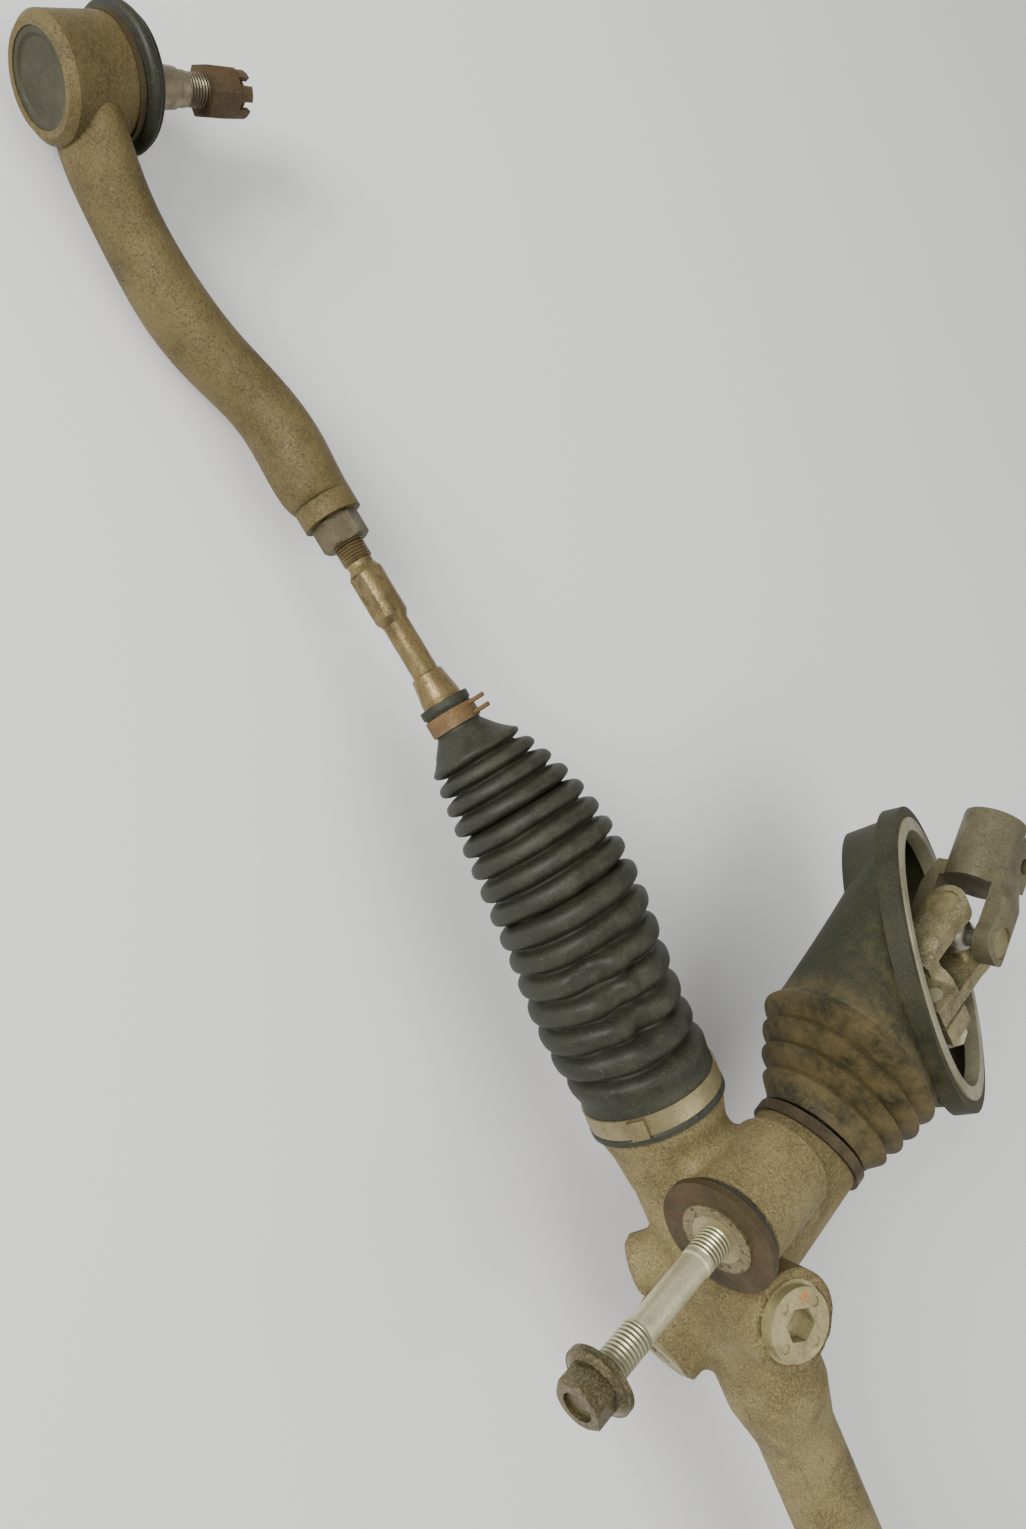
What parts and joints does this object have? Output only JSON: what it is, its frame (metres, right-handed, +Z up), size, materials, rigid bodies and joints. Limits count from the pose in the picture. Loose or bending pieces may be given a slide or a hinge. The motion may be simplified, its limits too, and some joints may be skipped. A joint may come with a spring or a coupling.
{
  "type": "rack and pinion steering gear",
  "caption": "Manual rack and pinion steering gear with ribbed bellows, tie rods, ball joints, rubber-bushed mounts and a covered universal joint.",
  "frame": {"origin": "centre of the seat face of the mounting bush next to the pinion, where the subframe meets the steel sleeve", "axes": "+X along the rack bar from the pinion end to the far end, +Y along the mounting bolts towards the subframe, +Z up as the gear lies on the bench"},
  "size_m": [1.3752, 0.3616, 0.1232],
  "materials": {
    "cast_aluminium": "sand-cast, oxidised",
    "ground_steel": "ground and oiled",
    "rod_steel": "plain steel with a brown oxide film",
    "forged_steel": "forged, dull, dusty",
    "pale_steel": "worn plating",
    "zinc_steel": "zinc plated, tarnished",
    "rusty_steel": "surface rust",
    "bellows_rubber": "moulded rubber, dusty",
    "cover_rubber": "moulded rubber, aged",
    "boot_rubber": "moulded rubber",
    "bush_rubber": "bonded rubber",
    "pale_plastic": "moulded plastic",
    "guide_metal": "die cast"
  },
  "bodies": {
    "housing": {"rack_housing": "cast_aluminium", "rack_bushing_far": "pale_plastic", "rack_guide": "guide_metal", "rack_guide_liner": "pale_plastic", "rack_guide_spring": "pale_steel", "rack_guide_cap": "pale_steel", "pinion_bearing_outer": "ground_steel", "pinion_needle_bearing": "ground_steel", "bearing_retainer": "pale_steel", "pinion_seal": "boot_rubber", "pinion_end_cap": "pale_steel", "mount_sleeve_near": "pale_steel", "mount_rubber_near": "bush_rubber", "mount_washer_near": "rusty_steel", "mount_sleeve_far": "pale_steel", "mount_rubber_far": "bush_rubber", "mount_washer_far": "rusty_steel", "bellows_near": "bellows_rubber", "bellows_far": "bellows_rubber", "bellows_clamp_near": "pale_steel", "bellows_clamp_far": "pale_steel", "column_cover": "cover_rubber", "cover_flange": "pale_plastic", "cover_clamp": "rusty_steel"},
    "rack": {"rack_bar": "ground_steel", "inner_socket_near": "forged_steel", "inner_socket_far": "forged_steel", "lock_washer_near": "pale_steel", "lock_washer_far": "pale_steel"},
    "inner_joint_near": {"inner_seat_near": "pale_plastic"},
    "tie_rod_near": {"tie_rod_near": "rod_steel", "jam_nut_near": "rusty_steel", "tie_rod_end_near": "forged_steel", "end_cap_near": "forged_steel", "small_clamp_near": "rusty_steel", "boot_ring_near": "rusty_steel", "outer_boot_near": "boot_rubber"},
    "outer_joint_near": {"outer_seat_near": "pale_plastic"},
    "stud_near": {"ball_stud_near": "rod_steel", "castle_nut_near": "rusty_steel"},
    "inner_joint_far": {"inner_seat_far": "pale_plastic"},
    "tie_rod_far": {"tie_rod_far": "rod_steel", "jam_nut_far": "rusty_steel", "tie_rod_end_far": "forged_steel", "end_cap_far": "forged_steel", "small_clamp_far": "rusty_steel", "boot_ring_far": "rusty_steel", "outer_boot_far": "boot_rubber"},
    "outer_joint_far": {"outer_seat_far": "pale_plastic"},
    "stud_far": {"ball_stud_far": "rod_steel", "castle_nut_far": "rusty_steel"},
    "pinion": {"pinion_shaft": "ground_steel", "pinion_bearing_inner": "ground_steel", "lower_yoke": "pale_steel", "lower_pinch_bolt": "zinc_steel", "lower_joint_cups": "pale_steel"},
    "spider": {"joint_spider": "ground_steel"},
    "steering_shaft": {"upper_yoke": "forged_steel", "upper_joint_cups": "pale_steel"},
    "bolt": {"mounting_bolt": "zinc_steel"}
  },
  "joints": [
    {"name": "rack_travel", "type": "slide", "parent": "housing", "child": "rack", "axis": [1, 0, 0], "range_m": [-0.065, 0.065], "deforming": ["bellows_near", "bellows_far"]},
    {"name": "pinion_turn", "type": "hinge", "parent": "housing", "child": "pinion", "pos_m": [0.051, -0.02186, -0.04745], "axis": [-0.2924, 0.9237, 0.2475], "range_deg": [-485, 485]},
    {"name": "joint_lower_swing", "type": "hinge", "parent": "pinion", "child": "spider", "pos_m": [-0.00747, 0.16289, 0.00205], "axis": [0.9235, 0.3399, -0.1777], "range_deg": [-10, 20]},
    {"name": "joint_upper_swing", "type": "hinge", "parent": "spider", "child": "steering_shaft", "pos_m": [-0.00747, 0.16289, 0.00205], "axis": [0.2201, -0.09, 0.9713], "range_deg": [-20, 20]},
    {"name": "bolt_slide", "type": "slide", "parent": "housing", "child": "bolt", "axis": [0, 1, 0], "range_m": [0, 0.0685]},
    {"name": "inner_joint_near_swing", "type": "hinge", "parent": "rack", "child": "inner_joint_near", "pos_m": [-0.108, -0.026, -0.032], "axis": [0, 1, 0], "range_deg": [-7, 27]},
    {"name": "inner_joint_near_toe", "type": "hinge", "parent": "inner_joint_near", "child": "tie_rod_near", "pos_m": [-0.108, -0.026, -0.032], "axis": [0, 0, 1], "range_deg": [-15, 15], "deforming": ["bellows_near"]},
    {"name": "outer_joint_near_tilt", "type": "hinge", "parent": "tie_rod_near", "child": "outer_joint_near", "pos_m": [-0.461, -0.056, -0.065], "axis": [1, 0, 0], "range_deg": [-18, 18]},
    {"name": "outer_joint_near_spin", "type": "hinge", "parent": "outer_joint_near", "child": "stud_near", "pos_m": [-0.461, -0.056, -0.065], "axis": [0.1045, 0.9945, 0], "range_deg": [-40, 40], "deforming": ["outer_boot_near"]},
    {"name": "inner_joint_far_swing", "type": "hinge", "parent": "rack", "child": "inner_joint_far", "pos_m": [0.512, -0.026, -0.032], "axis": [0, -1, 0], "range_deg": [-7, 27]},
    {"name": "inner_joint_far_toe", "type": "hinge", "parent": "inner_joint_far", "child": "tie_rod_far", "pos_m": [0.512, -0.026, -0.032], "axis": [0, 0, -1], "range_deg": [-15, 15], "deforming": ["bellows_far"]},
    {"name": "outer_joint_far_tilt", "type": "hinge", "parent": "tie_rod_far", "child": "outer_joint_far", "pos_m": [0.865, -0.056, -0.065], "axis": [1, 0, 0], "range_deg": [-18, 18]},
    {"name": "outer_joint_far_spin", "type": "hinge", "parent": "outer_joint_far", "child": "stud_far", "pos_m": [0.865, -0.056, -0.065], "axis": [-0.1045, 0.9945, 0], "range_deg": [-40, 40], "deforming": ["outer_boot_far"]}
  ],
  "couplings": [
    {"joint": "pinion_turn", "follows": "rack_travel", "rad_per_m": 129.23}
  ]
}
